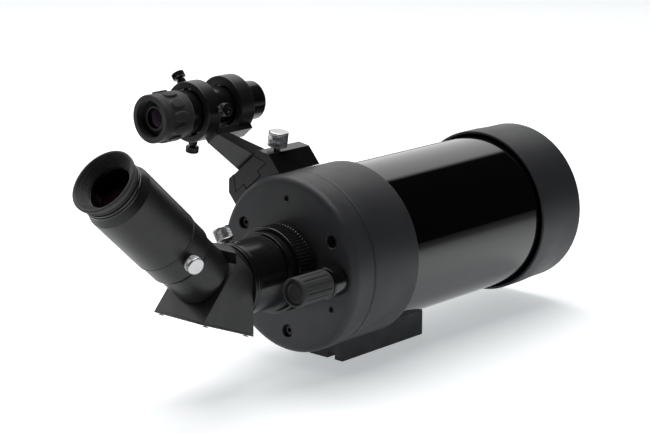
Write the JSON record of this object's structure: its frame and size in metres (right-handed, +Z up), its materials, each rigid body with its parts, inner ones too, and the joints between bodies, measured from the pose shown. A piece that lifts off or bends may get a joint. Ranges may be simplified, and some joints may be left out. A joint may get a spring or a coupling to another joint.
{
  "type": "maksutov telescope",
  "caption": "Compact Maksutov spotting telescope with textured end cells, erecting diagonal, eyepiece, side focus knob, finder on a sliding bracket and a dovetail bar.",
  "frame": {"origin": "centre of the dovetail bar's flat underside", "axes": "+Y the way the telescope points, +Z up, +X to the right seen from behind"},
  "size_m": [0.147, 0.3936, 0.1739],
  "materials": {
    "cell_paint": "fine textured satin charcoal paint",
    "tube_paint": "deep gloss black enamel",
    "black_anodised": "satin black anodising",
    "satin_black": "satin black paint",
    "bar_black": "matte black fine textured paint",
    "rubber": "matte moulded rubber",
    "black_plastic": "matte moulded plastic",
    "gloss_black": "polished black",
    "chrome": "polished chrome plate",
    "steel": "turned steel",
    "black_steel": "black oxide",
    "mirror": "aluminised",
    "glass": "polished optical glass",
    "coated_glass": "polished, with a blue-violet anti-reflection coating"
  },
  "bodies": {
    "optical_tube": {"rear_cover": "cell_paint", "rear_cell": "cell_paint", "main_tube": "tube_paint", "front_cell": "cell_paint", "corrector_lens": "glass", "corrector_retainer": "black_anodised", "secondary_mirror": "mirror", "secondary_baffle": "satin_black", "baffle_tube": "satin_black", "dovetail_bar": "bar_black", "bar_screw_1": "black_steel", "bar_screw_2": "black_steel", "cover_screw_1": "black_steel", "cover_screw_2": "black_steel", "cover_screw_3": "black_steel", "set_screw_1": "black_steel", "set_screw_2": "black_steel", "set_screw_3": "black_steel", "visual_back": "black_anodised", "focus_bushing": "gloss_black", "finder_shoe": "black_anodised", "shoe_screw_1": "black_steel", "shoe_screw_2": "black_steel"},
    "back_ring": {"visual_back_ring": "black_anodised"},
    "back_screw": {"visual_back_thumbscrew": "chrome"},
    "focuser": {"focus_shaft": "steel", "focus_knob_core": "black_plastic", "focus_knob_grip": "rubber"},
    "mirror_cell": {"primary_mirror": "mirror", "mirror_carrier": "steel", "mirror_retainer": "black_anodised"},
    "diagonal": {"diagonal_nosepiece": "chrome", "diagonal_collar": "black_anodised", "diagonal_housing": "satin_black", "diagonal_prism": "glass", "diagonal_base_plate": "satin_black", "base_plate_screw_1": "steel", "base_plate_screw_2": "steel", "base_plate_screw_3": "steel", "base_plate_screw_4": "steel", "eyepiece_socket": "satin_black"},
    "socket_screw": {"socket_thumbscrew": "chrome"},
    "eyepiece": {"eyepiece_body": "satin_black", "eyepiece_barrel": "chrome", "field_lens": "glass", "lens_spacer": "black_anodised", "eye_lens": "coated_glass", "eyepiece_top_ring": "black_anodised", "eyecup": "rubber"},
    "shoe_screw": {"shoe_thumbscrew": "chrome"},
    "bracket": {"finder_bracket": "satin_black"},
    "adjuster_1": {"finder_screw_1": "black_anodised"},
    "adjuster_2": {"finder_screw_2": "black_anodised"},
    "adjuster_3": {"finder_screw_3": "black_anodised"},
    "finder": {"finder_tube": "tube_paint", "finder_objective": "coated_glass", "finder_oring": "rubber"},
    "finder_eyepiece": {"finder_grip": "rubber", "finder_eye_cell": "black_plastic", "finder_eye_lens": "coated_glass"}
  },
  "joints": [
    {"name": "focus_knob_turn", "type": "hinge", "parent": "optical_tube", "child": "focuser", "pos_m": [0.0403, -0.0885, 0.062], "axis": [0, 1, 0], "range_deg": [-1800, 1800]},
    {"name": "mirror_focus", "type": "slide", "parent": "optical_tube", "child": "mirror_cell", "axis": [0, 1, 0], "range_m": [-0.005, 0.005]},
    {"name": "back_ring_turn", "type": "hinge", "parent": "optical_tube", "child": "back_ring", "pos_m": [0, -0.0785, 0.0637], "axis": [0, 1, 0], "range_deg": [0, 720]},
    {"name": "back_screw_turn", "type": "hinge", "parent": "optical_tube", "child": "back_screw", "pos_m": [-0.01484, -0.1075, 0.08744], "axis": [-0.5299, 0, 0.848], "range_deg": [0, 720]},
    {"name": "diagonal_turn", "type": "hinge", "parent": "optical_tube", "child": "diagonal", "pos_m": [0, -0.1155, 0.0637], "axis": [0, 1, 0], "continuous": true},
    {"name": "socket_screw_turn", "type": "hinge", "parent": "diagonal", "child": "socket_screw", "pos_m": [0.02295, -0.16906, 0.08858], "axis": [0.9563, -0.1994, -0.2138], "range_deg": [0, 720]},
    {"name": "eyepiece_slide", "type": "slide", "parent": "diagonal", "child": "eyepiece", "axis": [0, -0.7314, 0.682], "range_m": [0, 0.028]},
    {"name": "shoe_screw_turn", "type": "hinge", "parent": "optical_tube", "child": "shoe_screw", "pos_m": [-0.0283, -0.0465, 0.128], "axis": [0.1522, 0, 0.9884], "range_deg": [0, 720]},
    {"name": "bracket_slide", "type": "slide", "parent": "optical_tube", "child": "bracket", "axis": [0, -1, 0], "range_m": [0, 0.045]},
    {"name": "finder_tilt", "type": "hinge", "parent": "bracket", "child": "finder", "pos_m": [-0.07264, -0.0452, 0.15026], "axis": [0.766, 0, 0.6428], "range_deg": [-1.5, 1.5]},
    {"name": "adjuster_1_slide", "type": "slide", "parent": "bracket", "child": "adjuster_1", "axis": [-0.6157, 0, 0.788], "range_m": [-0.00069, 0.00069]},
    {"name": "adjuster_2_slide", "type": "slide", "parent": "bracket", "child": "adjuster_2", "axis": [0.9903, 0, 0.1392], "range_m": [-0.0004, 0.0004]},
    {"name": "adjuster_3_slide", "type": "slide", "parent": "bracket", "child": "adjuster_3", "axis": [-0.1736, 0, -0.9848], "range_m": [-0.0005, 0.0005]},
    {"name": "finder_eyepiece_turn", "type": "hinge", "parent": "finder", "child": "finder_eyepiece", "pos_m": [-0.07264, -0.0955, 0.15026], "axis": [0, 1, 0], "range_deg": [-180, 180]}
  ],
  "couplings": [
    {"joint": "focus_knob_turn", "follows": "mirror_focus", "rad_per_m": -6283.2},
    {"joint": "finder_tilt", "follows": "adjuster_1_slide", "rad_per_m": -38.046},
    {"joint": "adjuster_2_slide", "follows": "adjuster_1_slide", "ratio": -0.53024},
    {"joint": "adjuster_3_slide", "follows": "adjuster_1_slide", "ratio": -0.64318}
  ]
}
